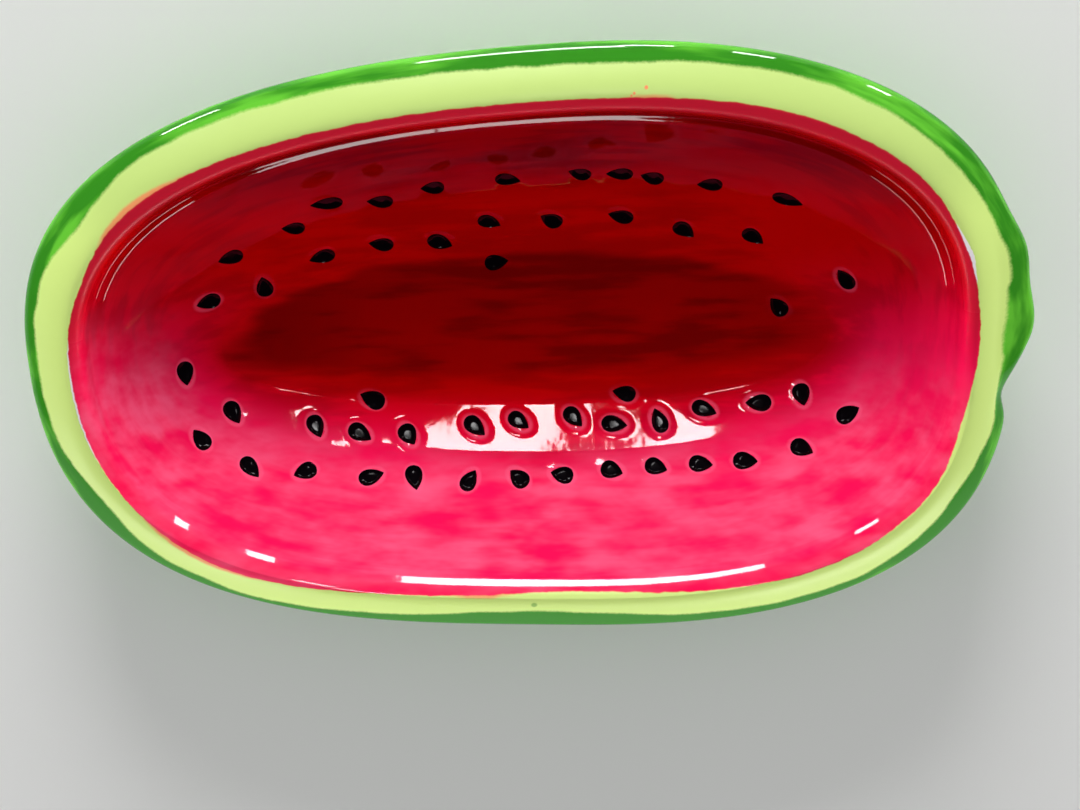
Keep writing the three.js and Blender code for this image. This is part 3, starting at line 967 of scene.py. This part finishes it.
paper = new_material("pale paper")
coat(paper.node_tree, {"Base Color": PAPER, "Roughness": PAPER_ROUGHNESS})
floor_mesh = bpy.data.meshes.new("paper_floor")
half = FLOOR_SIZE / 2
corners = [(-half, -half, 0), (half, -half, 0), (half, half, 0), (-half, half, 0)]
floor_mesh.from_pydata(corners, [], [(0, 1, 2, 3)])
floor_mesh.materials.append(paper)
floor = bpy.data.objects.new("paper_floor", floor_mesh)
bpy.context.scene.collection.objects.link(floor)

# ---- The lights ---------------------------------------------------------------------------------
# A large soft lamp stands low behind the bowl, and a light tent all round evens out the rest. They
# light the bowl and don't show in its glaze. Narrow strip lamps show in the glaze and light nothing
# else, so each stands where the glaze should gleam.

# Each lamp: its bearing from straight behind the bowl and its height, both in degrees, how far off
# it stands in metres, how wide and high it looks from the bowl, in degrees, and its brightness.
BACK_LAMP = (-2, 18, 1.66, 24, 16, 7.6)
STRIP_LAMPS = {
    "back strip": (-2.8, 10, 1.66, 15, 12, 52),
    "edge strip": (7.2, 2.7, 1.66, 5.6, 6, 70),
    "left back strip": (-36, 9, 1.6, 9, 9, 52),
    "right back strip": (41, 10, 1.6, 5, 11, 52),
    "narrow back strip": (20, 10, 1.6, 5.5, 11, 52),
    "high strip": (1.6, 64.7, 0.99, 2.4, 3.2, 44),
    "lower high strip": (7.9, 55.8, 0.99, 2.3, 5.8, 44),
    "front strip": (177.4, 7, 1.5, 3.4, 4.4, 10.5),
    "right front strip": (152, 6, 1.5, 36, 5, 12),
    "left front strip": (-142, 4.6, 1.5, 46, 2.6, 15),
}
LIT = Vector((0, 0, 0.05))  # what they are all turned to
SPREAD = math.radians(100)  # how wide the back lamp throws its light
FILL = 0.48  # the even light from all round
TENT = 14  # how much brighter the tent's lowest band is
TENT_FOOT = (-0.04, -0.01)  # sines of the heights where the band starts and is full
TENT_HEAD = (0.05, 0.08)  # and where it fades and ends
TENT_LEAN = 0.9  # how much brighter the band is before the bowl than at the sides


def lamp(name, bearing, height, distance, wide, high, brightness):
    """A flat panel that faces the bowl. The camera doesn't see it."""
    bearing, height = math.radians(bearing), math.radians(height)
    toward = Vector((math.sin(bearing), math.cos(bearing), math.tan(height))).normalized()
    panel = bpy.data.lights.new(name, "AREA")
    panel.shape = "RECTANGLE"
    panel.size = 2 * distance * math.tan(math.radians(wide / 2))
    panel.size_y = 2 * distance * math.tan(math.radians(high / 2))
    panel.energy = brightness * math.pi * panel.size * panel.size_y
    stand = bpy.data.objects.new(name, panel)
    stand.location = LIT + toward * distance
    stand.rotation_euler = (-toward).to_track_quat("-Z", "Y").to_euler()
    stand.visible_camera = False
    bpy.context.scene.collection.objects.link(stand)
    return stand


back_lamp = lamp("back lamp", *BACK_LAMP)
back_lamp.visible_glossy = False
back_lamp.data.spread = SPREAD
for name, setting in STRIP_LAMPS.items():
    lamp(name, *setting).visible_diffuse = False

world = bpy.data.worlds.new("light tent")
world.use_nodes = True
tent = world.node_tree
direction = add(tent, "ShaderNodeTexCoord")
behind = Field(add(tent, "ShaderNodeSeparateXYZ", (direction,), 1))
height = Field(add(tent, "ShaderNodeSeparateXYZ", (direction,), 2))
in_band = height.ramp(*TENT_FOOT) * (1 - height.ramp(*TENT_HEAD))
strength = in_band * (1 - behind * TENT_LEAN) * TENT + FILL
tent.links.new(strength.socket, tent.nodes["Background"].inputs["Strength"])
tent.nodes["Background"].inputs["Color"].default_value = (1, 1, 1, 1)
world.cycles_visibility.glossy = False
bpy.context.scene.world = world
bpy.context.scene.view_settings.view_transform = "Standard"

# ---- The camera ---------------------------------------------------------------------------------
# A long lens held high over the far long side. It looks steeply down into the hollow and is turned
# a little about its own axis.

CAMERA_PLACE = Vector((0.0007, 0.3533, 1.0170))
CAMERA_AIM = Vector((0.0026, -0.0233, 0.0450))
CAMERA_ROLL = math.radians(-1.90)
LENS = 92.05  # millimetres
SENSOR = 36  # its width in millimetres

backwards = (CAMERA_PLACE - CAMERA_AIM).normalized()
right = Vector((0, 1, 0)).cross(backwards).normalized()
up = backwards.cross(right)
turned_right = right * math.cos(CAMERA_ROLL) + up * math.sin(CAMERA_ROLL)
axes = Matrix((turned_right, backwards.cross(turned_right), backwards)).transposed()
camera_data = bpy.data.cameras.new("camera")
camera_data.sensor_fit = "HORIZONTAL"
camera_data.sensor_width = SENSOR
camera_data.lens = LENS
camera = bpy.data.objects.new("camera", camera_data)
camera.matrix_world = Matrix.Translation(CAMERA_PLACE) @ axes.to_4x4()
bpy.context.scene.collection.objects.link(camera)
bpy.context.scene.camera = camera
